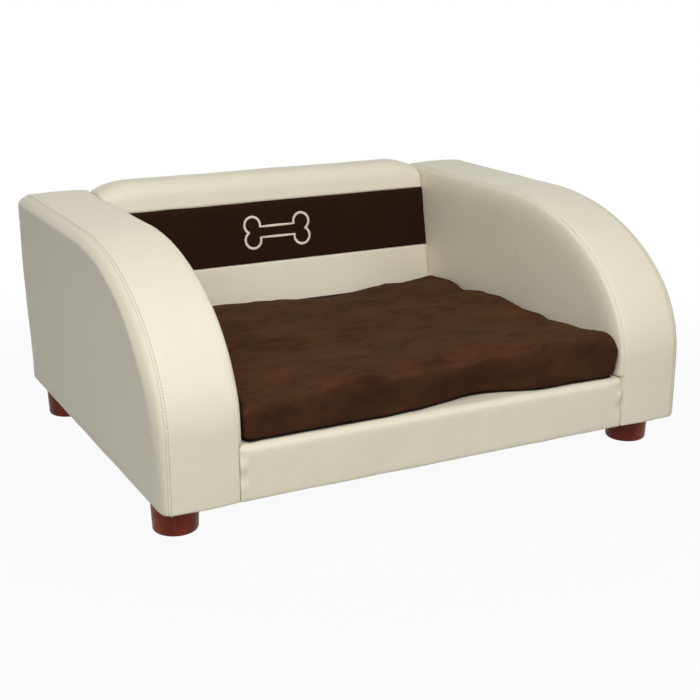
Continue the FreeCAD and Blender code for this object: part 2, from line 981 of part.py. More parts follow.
def arm_bolt(name, side, head_face, y, z):
    """A socket bolt along X: its head bears on head_face and its tip is inside the arm."""
    head_x = mirror_span(side, head_face - S.bolt_head_height, head_face)
    shank_x = mirror_span(side, head_face, bolt_tip)
    socket_low = head_face - S.bolt_head_height - S.overrun
    socket_high = head_face - S.bolt_head_height + S.bolt_socket_depth
    socket_x = mirror_span(side, socket_low, socket_high)
    blank = fuse(
        name + "_blank",
        [
            rod(name + "_head", S.bolt_head_radius, "x", head_x, y, z),
            rod(name + "_shank", S.bolt_radius, "x", shank_x, y, z),
        ],
    )
    return cut(name, blank, rod(name + "_socket", S.bolt_socket_radius, "x", socket_x, y, z))


def arm_nut(name, side, y, z):
    """A tee nut: its flange lies on the inner board, its barrel is in the board's hole."""
    flange_x = mirror_span(side, inner_board_back, flange_outer)
    barrel_x = mirror_span(side, inner_board_back - S.nut_barrel, inner_board_back)
    thread_x = mirror_span(side, inner_board_face - S.overrun, flange_outer + S.overrun)
    barrel_radius = bolt_barrel_radius - S.thread_gap
    blank = fuse(
        name + "_blank",
        [
            rod(name + "_flange", bolt_flange_radius, "x", flange_x, y, z),
            rod(name + "_barrel", barrel_radius, "x", barrel_x, y, z),
        ],
    )
    return cut(name, blank, rod(name + "_thread", bolt_hole_radius, "x", thread_x, y, z))


bolts = []
nuts = []
for side, word in ((-1, "left"), (1, "right")):
    places = [(side_rail_face, y, z) for y, z in seat_bolt_places]
    places += [(gusset_face, y, z) for y, z in back_bolt_places]
    for index, (head_face, y, z) in enumerate(places):
        bolts.append(arm_bolt(f"{word}_bolt_{index}", side, head_face, y, z))
        nuts.append(arm_nut(f"{word}_nut_{index}", side, y, z))
piece(group("arm_bolts", bolts))
piece(group("arm_tee_nuts", nuts))


# ---------------------------------------------------------------- loose cushion
def cushion_block(name, inset, low, high, crowned):
    """A rounded pad in plan; its top edge is rounded too where it is crowned."""
    body = new_body(name)
    left = inset - cushion_half_width
    right = cushion_half_width - inset
    front = cushion_front + inset
    rear = cushion_rear - inset
    sketch = new_sketch(body, "XY_Plane", low)
    polygon(sketch, [(left, front), (right, front), (right, rear), (left, rear)])
    feature = pad(body, sketch, high - low)
    feature = round_edges(
        body,
        feature,
        S.cushion_corner_radius - inset,
        lambda mark: (near(mark.x, left) or near(mark.x, right))
        and (near(mark.y, front) or near(mark.y, rear)),
    )
    if crowned:
        round_edges(
            body, feature, S.cushion_edge_radius - inset, lambda mark: near(mark.z, high)
        )
    return body


cushion_core = cushion_block(
    "cushion_core", S.cushion_cloth, cushion_cover_low, cushion_top - S.cushion_cloth, True
)
cushion_skin = cushion_block("cushion_skin", no_inset, cushion_cover_low, cushion_top, True)
zip_middle = cushion_low + S.zip_height
zip_half = cushion_half_width - S.cushion_corner_radius - S.zip_end_gap
coil_half = zip_half - S.zip_stop
zip_slot = box(
    "zip_slot",
    (-coil_half, coil_half),
    (cushion_rear - S.cushion_cloth, cushion_rear + S.overrun),
    (zip_middle - S.coil_width / 2, zip_middle + S.coil_width / 2),
)
piece(cut("cushion_cover", cushion_skin, cushion_core, zip_slot))
piece(
    cushion_block("cushion_base_cloth", no_inset, cushion_low, cushion_cover_low, False)
)
piece(cushion_core)

tape_rear = cushion_rear + S.zip_tape
coil_rear = tape_rear + S.coil
zip_tape = box(
    "zip_tape_strip",
    (-zip_half, zip_half),
    (cushion_rear, tape_rear),
    (zip_middle - S.zip_tape_width / 2, zip_middle + S.zip_tape_width / 2),
)
zip_coil = box(
    "zip_coil",
    (-coil_half, coil_half),
    (tape_rear, coil_rear),
    (zip_middle - S.coil_width / 2, zip_middle + S.coil_width / 2),
)
piece(fuse("cushion_zip", [zip_tape, zip_coil]))

# The slider straddles the coil. At rest the zip is closed and the slider is at its right end.
slider_x = (coil_half - S.slider_length, coil_half)
slider_front = tape_rear + S.slider_play
slider_rear = slider_front + S.slider
channel_half = S.coil_width / 2 + S.slider_play
pull_side = (S.slider_length - S.pull_width) / 2
pull_x = (slider_x[0] + pull_side, slider_x[1] - pull_side)
pull_front = slider_rear + S.pull_bridge
pull_top = zip_middle + S.slider_width / 4
slider_body = box(
    "slider_body",
    slider_x,
    (slider_front, slider_rear),
    (zip_middle - S.slider_width / 2, zip_middle + S.slider_width / 2),
)
slider_channel = box(
    "slider_channel",
    (slider_x[0] - S.overrun, slider_x[1] + S.overrun),
    (tape_rear, coil_rear + S.slider_play),
    (zip_middle - channel_half, zip_middle + channel_half),
)
slider_bridge = box(
    "slider_bridge", pull_x, (slider_rear, pull_front), (zip_middle, pull_top)
)
slider_pull = box(
    "slider_pull", pull_x, (pull_front, pull_front + S.pull), (pull_top - S.pull_length, pull_top)
)
piece(
    fuse(
        "zip_slider",
        [cut("slider_grooved", slider_body, slider_channel), slider_bridge, slider_pull],
    )
)

# ---------------------------------------------------------------- check and write
doc.recompute()
for thing in doc.Objects:
    if "Invalid" in thing.State or "Error" in thing.State:
        raise RuntimeError(f"{thing.Name} could not be built: {thing.State}")
for part in PIECES:
    if part.Shape.isNull() or not part.Shape.isValid() or not part.Shape.Solids:
        raise RuntimeError(f"{part.Label} has no valid shape")

os.makedirs("parts", exist_ok=True)
for part in PIECES:
    part.Shape.exportStep(f"parts/{part.Label}.step")
    print(f"{part.Label}: {len(part.Shape.Solids)} solid(s), {part.Shape.Volume / 1000:.1f} cm3")
print(f"{len(PIECES)} pieces")
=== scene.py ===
# %% [markdown]
# # A small sofa for a dog
# The bed is a low wooden frame with two rounded arms, a slanted back and a shallow deck. Thin foam and
# cream leatherette cover it all, a brown suede cushion lies on the deck, and four turned feet carry it.
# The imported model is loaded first, because every new piece takes its place from it.

# %% Load the frame
import math
import bmesh
import bpy
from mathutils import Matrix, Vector, noise


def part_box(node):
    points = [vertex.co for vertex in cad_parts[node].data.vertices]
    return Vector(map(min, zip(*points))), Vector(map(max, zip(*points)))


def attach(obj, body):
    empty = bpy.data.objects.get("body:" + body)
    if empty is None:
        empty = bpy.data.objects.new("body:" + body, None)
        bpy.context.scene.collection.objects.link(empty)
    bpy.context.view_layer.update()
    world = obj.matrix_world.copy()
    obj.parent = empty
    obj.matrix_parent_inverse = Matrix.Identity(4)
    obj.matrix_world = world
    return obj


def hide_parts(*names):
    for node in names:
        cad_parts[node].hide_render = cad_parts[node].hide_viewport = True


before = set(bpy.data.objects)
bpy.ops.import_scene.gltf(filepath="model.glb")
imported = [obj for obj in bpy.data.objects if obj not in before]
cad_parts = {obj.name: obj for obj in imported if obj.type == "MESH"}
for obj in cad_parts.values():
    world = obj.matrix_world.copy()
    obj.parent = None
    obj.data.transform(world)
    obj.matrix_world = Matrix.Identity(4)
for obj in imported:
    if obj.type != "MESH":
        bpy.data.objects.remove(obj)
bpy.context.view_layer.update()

# %% [markdown]
# ## Ways of working
# Modelling by hand is the same few moves again and again: add a primitive, go into edit mode, pick some
# faces or edges by where they are, and push them. Each move gets a short helper, so that the cells below
# read like the list of moves. Picking by place works without a mouse, and it still works after the sizes
# change.


# %% Picking and moving
def put_down():
    """Leaves edit mode and lets go of every object."""
    if bpy.context.object and bpy.context.object.mode != "OBJECT":
        bpy.ops.object.mode_set(mode="OBJECT")
    bpy.ops.object.select_all(action="DESELECT")


def placed(name, size=(1, 1, 1)):
    """Names the newest object, sizes it and puts its place into its mesh."""
    piece = bpy.context.object
    piece.name = name
    piece.data.name = name
    piece.scale = size
    bpy.ops.object.transform_apply(location=True, rotation=True, scale=True)
    return piece


def take(piece):
    """Selects one object, in object mode."""
    put_down()
    piece.select_set(True)
    bpy.context.view_layer.objects.active = piece


def edit(piece):
    """Opens one object in edit mode."""
    take(piece)
    bpy.ops.object.mode_set(mode="EDIT")


def pick(piece, kind, test):
    """Selects the vertices, edges or faces that pass a test, and says how many."""
    bpy.ops.mesh.select_mode(type=kind)
    bpy.ops.mesh.select_all(action="DESELECT")
    mesh = bmesh.from_edit_mesh(piece.data)
    mesh.normal_update()
    parts = {"VERT": mesh.verts, "EDGE": mesh.edges, "FACE": mesh.faces}[kind]
    chosen = [part for part in parts if test(part)]
    for part in chosen:
        part.select = True
    mesh.select_flush_mode()
    bmesh.update_edit_mesh(piece.data)
    return len(chosen)


def pull(x, y, z):
    """Extrudes what is selected and moves it."""
    bpy.ops.mesh.extrude_region_move(TRANSFORM_OT_translate={"value": (x, y, z)})


def slice_off(point, normal, fill=True):
    """Cuts the whole mesh at a plane and drops the side that the normal points away from."""
    bpy.ops.mesh.select_all(action="SELECT")
    bpy.ops.mesh.bisect(plane_co=point, plane_no=normal, use_fill=fill, clear_inner=True)


def outwards():
    """Turns every face of the open mesh outwards and goes back to object mode."""
    bpy.ops.mesh.select_all(action="SELECT")
    bpy.ops.mesh.normals_make_consistent(inside=False)
    bpy.ops.object.mode_set(mode="OBJECT")


def block(name, low, high):
    """A cube primitive added at its size and place."""
    put_down()
    low, high = Vector(low), Vector(high)
    bpy.ops.mesh.primitive_cube_add(size=1, location=(low + high) / 2)
    return placed(name, high - low)


def modified(piece, kind, **settings):
    """Adds one modifier, sets it and applies it."""
    take(piece)
    bpy.ops.object.modifier_add(type=kind)
    modifier = piece.modifiers[-1]
    for key, value in settings.items():
        setattr(modifier, key, value)
    bpy.ops.object.modifier_apply(modifier=modifier.name)


# %% [markdown]
# ## Padding
# Foam under leatherette has soft edges and a face that is never quite flat. The sharp block is remeshed
# into an even skin, smoothed so that its edges ease over, and then pushed in and out a little by a cloud
# texture. A remesh was chosen over bevels because it gives small even faces everywhere, which the later
# puckers need.


# %% Padding and puckers
def upholster(piece, voxel, rounds, slack, patch):
    """Turns a sharp block into a padded panel with eased edges and a slightly slack face."""
    modified(piece, "REMESH", mode="VOXEL", voxel_size=voxel)
    modified(piece, "SMOOTH", factor=0.5, iterations=rounds)
    cloud = bpy.data.textures.new(piece.name + "_slack", "CLOUDS")
    cloud.noise_scale = patch
    modified(piece, "DISPLACE", texture=cloud, texture_coords="LOCAL", strength=slack, mid_level=0.5)
    take(piece)
    bpy.ops.object.shade_smooth()
    print(piece.name, len(piece.data.polygons), "faces")


def press(piece, at, by, reach):
    """Moves the skin near a point, fading out with distance, as a thumb would."""
    at, by = Vector(at), Vector(by)
    for vertex in piece.data.vertices:
        near = (vertex.co - at).length / reach
        if near < 1:
            vertex.co += by * (1 - near * near) ** 2


def reshape(piece, rule):
    """Moves each vertex to where a rule says."""
    for vertex in piece.data.vertices:
        vertex.co = rule(vertex.co)
    piece.data.update()


# %% [markdown]
# ## The outline of an arm
# Seen from the side, an arm is a quarter of an ellipse in front, a straight top and a small rounded
# corner at the rear. All three panels of the arm share that outline. A circle primitive is scaled to the
# ellipse and cut to a quarter, its ends are extruded, and the rear corner is spun.

# %% The arm's sizes
strip_low, strip_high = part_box("left_arm_top_strip")
front_y = strip_low.y
rear_y = strip_high.y
arm_top = strip_high.z
cover_low = strip_low.z
outer_seam = -strip_low.x
inner_seam = -strip_high.x
outer_face = -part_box("left_arm_outer_cover")[0].x
inner_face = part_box("right_arm_inner_cover")[0].x
deck_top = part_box("front_rail_cover")[1].z
ellipse_y = -0.010
ellipse_z = 0.135
rear_corner = 0.015
print("arm seams", round(inner_seam, 4), round(outer_seam, 4), "faces", round(outer_face, 4))


# %% Draw the outline
def arm_outline(name, x, foot):
    """The arm's side outline as one face at x, down to the height of foot."""
    put_down()
    bpy.ops.mesh.primitive_circle_add(
        vertices=128, radius=1, location=(x, ellipse_y, ellipse_z), rotation=(0, math.pi / 2, 0))
    piece = placed(name, (arm_top - ellipse_z, ellipse_y - front_y, 1))
    edit(piece)
    slice_off((x, ellipse_y, ellipse_z), (0, -1, 0), fill=False)
    slice_off((x, ellipse_y, ellipse_z), (0, 0, 1), fill=False)
    pick(piece, "VERT", lambda v: v.co.z > arm_top - 1e-5)
    pull(0, rear_y - rear_corner - ellipse_y, 0)
    bpy.ops.mesh.spin(steps=6, angle=math.pi / 2, axis=(1, 0, 0),
                      center=(x, rear_y - rear_corner, arm_top - rear_corner))
    pull(0, 0, foot - arm_top + rear_corner)
    pick(piece, "VERT", lambda v: v.co.y < front_y + 1e-5)
    pull(0, 0, foot - ellipse_z)
    bpy.ops.mesh.select_all(action="SELECT")
    bpy.ops.mesh.remove_doubles(threshold=0.0005)
    pick(piece, "VERT", lambda v: v.co.z < foot + 1e-5)
    bpy.ops.mesh.edge_face_add()
    return piece


# %% Which way the outline faces
def outline_faces(co):
    """The direction that the arm's outline faces at a point on it, seen from the side."""
    if co.y > rear_y - rear_corner:
        away = Vector((0, co.y - rear_y + rear_corner, max(0, co.z - arm_top + rear_corner)))
    elif co.y > ellipse_y:
        away = Vector((0, 0, 1))
    else:
        across = (co.y - ellipse_y) / (ellipse_y - front_y) ** 2
        away = Vector((0, across, max(0, co.z - ellipse_z) / (arm_top - ellipse_z) ** 2))
    return away.normalized()


def depth_inside(co):
    """How far a point is inside the arm's outline, seen from the side."""
    if co.y > ellipse_y:
        return min(arm_top - co.z, rear_y - co.y)
    if co.z < ellipse_z:
        return co.y - front_y
    across = (co.y - ellipse_y) / (ellipse_y - front_y)
    up = (co.z - ellipse_z) / (arm_top - ellipse_z)
    return (1 - math.hypot(across, up)) * (arm_top - ellipse_z)


# %% [markdown]
# ## Side panels of the arms
# Each side of an arm is a flat board under foam. The leatherette is pulled over the foam and sewn to the
# strip, so the panel rolls out from the seam over about 34 mm and then lies flat. The roll is a row of
# insets that follow a quarter of an ellipse, each one smaller and a little further out.


# %% Model a side panel
def side_panel(name, seam_x, face_x, board_x, low, roll):
    """A padded panel that rolls from the seam out to its flat face, and is flat against the board."""
    piece = arm_outline(name, seam_x, low - roll / 3)
    bpy.ops.mesh.select_all(action="SELECT")
    bpy.ops.mesh.edge_face_add()
    face = bmesh.from_edit_mesh(piece.data).faces[:][0]
    if face.normal.x * (face_x - seam_x) < 0:
        bpy.ops.mesh.flip_normals()
    rise = abs(face_x - seam_x)
    turns = [math.radians(turn) for turn in (0, 20, 38, 55.5, 72, 90)]
    bpy.ops.mesh.select_mode(type="FACE")
    for a, b in zip(turns, turns[1:]):
        bpy.ops.mesh.inset(
            thickness=roll * (math.cos(a) - math.cos(b)), depth=rise * (math.sin(b) - math.sin(a)))
        bpy.ops.mesh.remove_doubles(threshold=0.0015)
    pick(piece, "EDGE", lambda e: e.is_boundary)
    pull(board_x - seam_x, 0, 0)
    bpy.ops.mesh.edge_face_add()
    slice_off((0, 0, low), (0, 0, 1))
    outwards()
    upholster(piece, 0.003, 5, 0.0012, 0.07)
    return piece


# %% The four side panels
arms = {}
for side, sign in (("left", -1), ("right", 1)):
    outer_board = sign * 0.3678
    inner_board = sign * 0.2877
    arms[side] = [
        side_panel(side + "_arm_outer_pad", sign * outer_seam, sign * (outer_face + 0.002), outer_board,
                   cover_low, 0.034),
        side_panel(side + "_arm_inner_pad", sign * inner_seam, sign * inner_face, inner_board,
                   deck_top, 0.034),
    ]

# %% Puff the outer rolls
def puffed(co, sign):
    """Swells the roll below the outer seam, most along the top and hardly at the foot."""
    depth = depth_inside(co)
    bell = max(0, min(1, depth / 0.012)) * max(0, 1 - max(0, depth - 0.012) / 0.042) ** 2
    height = max(0, min(1, (co.z - 0.08) / 0.14))
    out = max(0, min(1, (abs(co.x) - outer_seam) / 0.004))
    return co + Vector((sign * 0.0055 * bell * height * out, 0, 0))


for side, sign in (("left", -1), ("right", 1)):
    reshape(arms[side][0], lambda co: puffed(co, sign))
print("outer rolls puffed by", 0.0055)


# %% Tuck the inner panels behind the back
def tucked(co, sign):
    """Keeps the rear end of an inner panel flat, because it lies between the back and the arm."""
    if rear_y - co.y > 0.034 or abs(co.x) > inner_seam + 0.0005:
        return co
    near_top = max(0, min(1, (arm_top - co.z) / 0.034))
    rise = math.sqrt(1 - (1 - near_top) ** 2)
    return Vector((sign * (inner_seam - (inner_seam - inner_face) * rise), co.y, co.z))


for side, sign in (("left", -1), ("right", 1)):
    reshape(arms[side][1], lambda co: tucked(co, sign))
print("inner panels tucked")

# %% [markdown]
# ## The strip over each arm
# One long strip runs from the floor edge in front, up the curve, along the top and down the rear. It is
# the outline given a width. The inside is cut away, because the strip is only as thick as its foam, and
# its two long edges are eased where the seams pull them down.


# %% Model a strip
def top_strip(name, sign):
    """The padded strip between an arm's two seams."""
    piece = arm_outline(name, sign * inner_seam, cover_low - 0.02)
    bpy.ops.mesh.select_all(action="SELECT")
    bpy.ops.mesh.edge_face_add()
    pull(sign * (outer_seam - inner_seam), 0, 0)
    outwards()
    edit(piece)
    pick(piece, "EDGE", lambda e: len({abs(f.normal.x) > 0.9 for f in e.link_faces}) == 2)
    bpy.ops.mesh.bevel(offset=0.0035, segments=3)
    pick(piece, "FACE", lambda f: abs(f.normal.x) > 0.99 and len(f.verts) > 30)
    bpy.ops.mesh.inset(thickness=0.0077)
    bpy.ops.mesh.delete(type="FACE")
    pick(piece, "EDGE", lambda e: e.is_boundary)
    bpy.ops.mesh.bridge_edge_loops()
    slice_off((0, 0, cover_low), (0, 0, 1))
    outwards()
    upholster(piece, 0.0025, 3, 0.0014, 0.05)
    middle = sign * (inner_seam + outer_seam) / 2
    half = (outer_seam - inner_seam) / 2

    def crown(co):
        across = min(1, abs(co.x - middle) / half)
        return co + outline_faces(co) * 0.0016 * (1 - across ** 2)

    reshape(piece, crown)
    return piece


# %% The two strips
for side, sign in (("left", -1), ("right", 1)):
    arms[side].append(top_strip(side + "_arm_strip", sign))

# %% [markdown]
# ## The back
# The back leans a little, so its front face is a sloping line. Three panels are sewn one above the other:
# a plain one behind the cushion, a band of dark suede, and a plain one that rolls over the top. Each is a
# block whose upper edge is moved back by the slope. The ends of the top roll droop, because the
# leatherette is tucked down beside the arms.

# %% The back's slope
back_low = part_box("back_lower_panel")[0]
band_low, band_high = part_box("back_band")
back_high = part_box("back_upper_panel")[1]
lean = (band_low.y - back_low.y) / (band_low.z - back_low.z)
back_pad = 0.026
half_back = band_high.x
print("the back leans", round(math.degrees(math.atan(lean)), 1), "degrees")


def back_front(z):
    """How far back the front face of the back is at a height."""
    return back_low.y + lean * (z - back_low.z)


# %% The lower panel and the band
def leaning_panel(name, low, high, proud):
    """A padded slab on the slope of the back."""
    y = back_front(low)
    piece = block(name, (-half_back, y - proud, low), (half_back, y + back_pad, high))
    edit(piece)
    pick(piece, "FACE", lambda f: f.normal.z > 0.9)
    bpy.ops.transform.translate(value=(0, lean * (high - low), 0))
    outwards()
    upholster(piece, 0.003, 3, 0.0012, 0.06)
    return piece


lower_panel = leaning_panel("back_lower_pad", back_low.z, band_low.z, 0)
band = leaning_panel("back_band_pad", band_low.z, band_high.z, 0.0006)

# %% The panel that rolls over the top
board_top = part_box("back_board")[1].z
roll_front = back_front(board_top)
upper_panel = block("back_upper_pad", (-half_back, roll_front, board_top), (half_back, rear_y, back_high.z))
edit(upper_panel)
bpy.ops.mesh.select_all(action="SELECT")
bpy.ops.mesh.bisect(plane_co=(0, roll_front + back_pad, 0), plane_no=(0, 1, 0))
pick(upper_panel, "FACE", lambda f: f.normal.z < -0.9 and f.calc_center_median().y < roll_front + back_pad)
pull(0, lean * (band_high.z - board_top), band_high.z - board_top)
pick(upper_panel, "EDGE", lambda e: all(v.co.z > back_high.z - 1e-5 and v.co.y < roll_front + 1e-5 for v in e.verts))
bpy.ops.transform.translate(value=(0, lean * (back_high.z - board_top), 0))
pick(upper_panel, "EDGE", lambda e: all(
    v.co.z > back_high.z - 1e-5 and v.co.y < roll_front + 0.02 for v in e.verts) and e.calc_length() > 0.1)
bpy.ops.mesh.bevel(offset=0.034, segments=8)
pick(upper_panel, "EDGE", lambda e: all(
    v.co.z > back_high.z - 1e-5 and v.co.y > rear_y - 1e-5 for v in e.verts))
bpy.ops.mesh.bevel(offset=0.012, segments=5)
outwards()
upholster(upper_panel, 0.003, 4, 0.0016, 0.06)


def droop(co):
    """Lowers the ends of the top roll beside the arms."""
    past = max(0, abs(co.x) - 0.225) / 0.047
    share = min(1, max(0, (co.z - band_high.z) / (back_high.z - band_high.z)))
    return co - Vector((0, 0, 0.012 * past ** 2 * share))


reshape(upper_panel, droop)

# %% [markdown]
# ## The front rail and the deck
# The rail under the cushion's front edge is covered by one piece of leatherette over foam. It rolls over
# the rail's top and goes back under the cushion, where grey lining takes over, because nobody sees it.
# The rail pad starts as its flat top, and the front part of its underside is extruded down to the floor
# edge. Where it is tucked against the arms the cover puckers.

# %% The rail's pad
rail_low, rail_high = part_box("front_rail_cover")
rail_front = rail_low.y
rail_pad_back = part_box("seat_front_rail")[0].y - 0.0004
board_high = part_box("deck_board")[1].z
rail = block("front_rail_pad", (rail_low.x, rail_front, board_high), rail_high)
edit(rail)
bpy.ops.mesh.select_all(action="SELECT")
bpy.ops.mesh.bisect(plane_co=(0, rail_pad_back, 0), plane_no=(0, 1, 0))
pick(rail, "FACE", lambda f: f.normal.z < -0.9 and f.calc_center_median().y < rail_pad_back)
pull(0, 0, cover_low - board_high)
pick(rail, "EDGE", lambda e: all(
    v.co.z > rail_high.z - 1e-5 and v.co.y < rail_front + 1e-5 for v in e.verts))
bpy.ops.mesh.bevel(offset=0.010, segments=5)
outwards()
upholster(rail, 0.003, 3, 0.0014, 0.06)
for sign in (-1, 1):
    for drop, depth in ((0.012, 0.0022), (0.026, -0.0012), (0.040, 0.0018), (0.056, -0.0008)):
        press(rail, (sign * rail_high.x, rail_front, rail_high.z - drop), (0, depth, 0), 0.014)

# %% The deck's foam and lining
lining_low, lining_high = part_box("deck_lining")
deck_pad = block("deck_pad", (-0.2877, lining_low.y + 0.0005, board_high + 0.0003),
                 (0.2877, lining_high.y, lining_low.z - 0.0002))
upholster(deck_pad, 0.004, 2, 0.0002, 0.08)


def cloth_sheet(name, low, high, thickness, step):
    """A flat grid of cloth between two corners, with a wall of its own thickness."""
    put_down()
    size = Vector(high) - Vector(low)
    middle = (Vector(low) + Vector(high)) / 2
    bpy.ops.mesh.primitive_grid_add(
        x_subdivisions=round(size.x / step), y_subdivisions=round(size.y / step), size=1,
        location=(middle.x, middle.y, high[2]))
    piece = placed(name, (size.x, size.y, 1))
    modified(piece, "SOLIDIFY", thickness=thickness, offset=-1)
    take(piece)
    bpy.ops.object.shade_smooth_by_angle(angle=math.radians(40))
    print(name, [round(v, 3) for v in size])
    return piece


lining = cloth_sheet("deck_lining_cloth", lining_low, lining_high, 0.001, 0.02)

# %% [markdown]
# ## Cloth underneath and behind
# Black dust cloth closes the bed from below. It is stapled all round, so it hangs slack between its
# edges, and it bags in a small fold beside the front right foot. The rear is one flat piece of
# leatherette, pulled tight under the roll of the back.

# %% The dust cover
dust_low, dust_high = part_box("dust_cover")
dust = cloth_sheet("dust_cover_cloth", dust_low, dust_high, 0.001, 0.0125)
studs = [(sx * 0.344, sy * 0.236) for sx in (-1, 1) for sy in (-1, 1)]
edit(dust)
holes = pick(dust, "FACE", lambda f: abs(f.normal.z) > 0.9 and any(
    math.hypot(f.calc_center_median().x - x, f.calc_center_median().y - y) < 0.010 for x, y in studs))
bpy.ops.mesh.delete(type="FACE")
pick(dust, "EDGE", lambda e: e.is_boundary)
bpy.ops.mesh.bridge_edge_loops()
outwards()


def sag(co):
    """Lets the cloth hang a little away from its stapled edges and feet."""
    edge = min(dust_high.x - abs(co.x), dust_high.y - abs(co.y))
    foot = min(math.hypot(co.x - x, co.y - y) for x, y in studs) - 0.032
    free = max(0, min(1, edge / 0.10, foot / 0.08))
    fold = max(0, 1 - abs(co.x - 0.348) / 0.022) * max(0, 1 - (co.y - dust_low.y) / 0.016)
    return co - Vector((0, 0, 0.0022 * free ** 2 + 0.0055 * fold))


reshape(dust, sag)
print("dust cover holes", holes // 2)

# %% The outside back
outside_low, outside_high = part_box("outside_back_panel")
outside = block("outside_back_sheet", outside_low, (outside_high.x, outside_high.y, deck_top))
edit(outside)
for x in (-half_back, half_back):
    bpy.ops.mesh.select_all(action="SELECT")
    bpy.ops.mesh.bisect(plane_co=(x, 0, 0), plane_no=(1, 0, 0))
pick(outside, "FACE", lambda f: f.normal.z > 0.9 and abs(f.calc_center_median().x) < 0.1)
pull(0, 0, outside_high.z - deck_top)
bpy.ops.mesh.select_all(action="SELECT")
bpy.ops.mesh.subdivide(number_cuts=12)
outwards()
reshape(outside, lambda co: co + Vector((0, 0.0006 * noise.noise(co * 14), 0)))
flap = block("back_rear_flap", (-half_back, outside_low.y + 0.0001, outside_high.z + 0.0006),
             (half_back, rear_y, board_top - 0.0004))
modified(flap, "BEVEL", width=0.0004, segments=2)
take(flap)
bpy.ops.object.shade_smooth_by_angle(angle=math.radians(40))

# %% [markdown]
# ## The cushion
# The cushion is a loose suede cover over soft filling, and it never lies flat: its front edge wanders,
# its top swells in some places and dips in others. A rounded block is pushed into that rough shape first.
# Then cloth simulation does what no push can: the cover is made a little too large for its filling and
# blown up slightly, so it creases along its sides by itself. A limit on how far each point may move keeps
# it off the arms and the zip, and it is tighter near the base, where the cover is sewn to the base cloth.

# %% The rough shape
cushion_low, cushion_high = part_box("cushion_cover")
cushion_flat = 0.157
cushion = block("cushion_pad", (cushion_low.x - 0.002, cushion_low.y - 0.005, cushion_low.z + 0.0006),
                (cushion_high.x + 0.002, cushion_high.y - 0.001, cushion_flat))
edit(cushion)
pick(cushion, "EDGE", lambda e: abs(e.verts[0].co.z - e.verts[1].co.z) > 0.01)
bpy.ops.mesh.bevel(offset=0.008, segments=3)
pick(cushion, "EDGE", lambda e: all(v.co.z > cushion_flat - 1e-5 for v in e.verts))
bpy.ops.mesh.bevel(offset=0.013, segments=4)
outwards()
modified(cushion, "REMESH", mode="VOXEL", voxel_size=0.005)
modified(cushion, "SMOOTH", factor=0.5, iterations=3)
lumps = [
    ((-0.11, -0.23), 0.012, 0.13), ((0.06, -0.25), 0.016, 0.14), ((0.20, -0.24), 0.013, 0.11),
    ((-0.25, -0.27), -0.008, 0.09), ((0.27, -0.05), 0.009, 0.13), ((0.10, -0.06), 0.006, 0.10),
    ((-0.08, -0.02), 0.004, 0.12), ((-0.17, -0.10), -0.004, 0.09), ((0.15, 0.05), -0.004, 0.08),
    ((0.28, -0.28), 0.011, 0.08), ((0.28, -0.17), 0.007, 0.08), ((-0.22, 0.19), -0.014, 0.13),
    ((-0.07, 0.19), -0.009, 0.11), ((0.06, 0.19), -0.019, 0.12), ((0.20, 0.19), -0.010, 0.10),
]
bays = [((0.060, -0.292), 0.024, 0.10), ((-0.03, -0.292), 0.006, 0.06)]


def fade(co, x, y, reach):
    """One at a place on the cushion's plan, falling to nothing at a distance."""
    near = math.hypot(co.x - x, co.y - y) / reach
    return (1 - near * near) ** 2 if near < 1 else 0


def rough(co):
    """Raises and lowers the top, and draws the lower front edge back."""
    top_share = max(0, min(1, (co.z - cushion_low.z) / (cushion_flat - cushion_low.z)))
    rise = sum(height * fade(co, x, y, reach) for (x, y), height, reach in lumps)
    back = sum(depth * fade(co, x, y, reach) for (x, y), depth, reach in bays)
    return co + Vector((0, back * (1 - 0.75 * top_share), rise * top_share))


def crumpled(co):
    """Adds slack folds, strongest along the front where the cover hangs loose."""
    front_share = max(0, min(1, 1 - (co.y + 0.285) / 0.05))
    above = max(0, min(1, (co.z - cushion_low.z - 0.004) / 0.012))
    broad = noise.noise_vector(co * 19)
    fine = noise.noise_vector(co * 46)
    return co + above * (broad * (0.0020 + 0.0060 * front_share) + fine * (0.0006 + 0.0022 * front_share))


reshape(cushion, rough)
reshape(cushion, crumpled)
print("cushion", len(cushion.data.vertices), "points")


# %% Let the cover crease
def blow_up(piece, frames, pressure, spare, limit):
    """Runs the cloth simulation on a padded piece and keeps its result within a limit."""
    before = [v.co.copy() for v in piece.data.vertices]
    take(piece)
    bpy.ops.object.modifier_add(type="CLOTH")
    cloth = piece.modifiers[-1]
    cloth.settings.quality = 6
    cloth.settings.mass = 0.25
    cloth.settings.bending_stiffness = 0.6
    cloth.settings.use_pressure = True
    cloth.settings.uniform_pressure_force = pressure
    cloth.settings.shrink_min = -spare
    cloth.settings.effector_weights.gravity = 0
    cloth.collision_settings.use_collision = False
    for step in range(1, frames + 1):
        bpy.context.scene.frame_set(step)
    bpy.ops.object.modifier_apply(modifier=cloth.name)
    bpy.context.scene.frame_set(1)
    moved = 0
    foot = min(start.z for start in before)
    for vertex, start in zip(piece.data.vertices, before):
        move = vertex.co - start
        moved = max(moved, move.length)
        allowed = limit * min(1, 0.2 + (start.z - foot) / 0.03)
        if move.length > allowed:
            vertex.co = start + move * (allowed / move.length)
    print(piece.name, "moved up to", round(moved, 4), "kept to", limit)


blow_up(cushion, 20, 4, 0.035, 0.007)

# %% Keep it off its neighbours
zip_low, zip_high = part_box("cushion_zip")


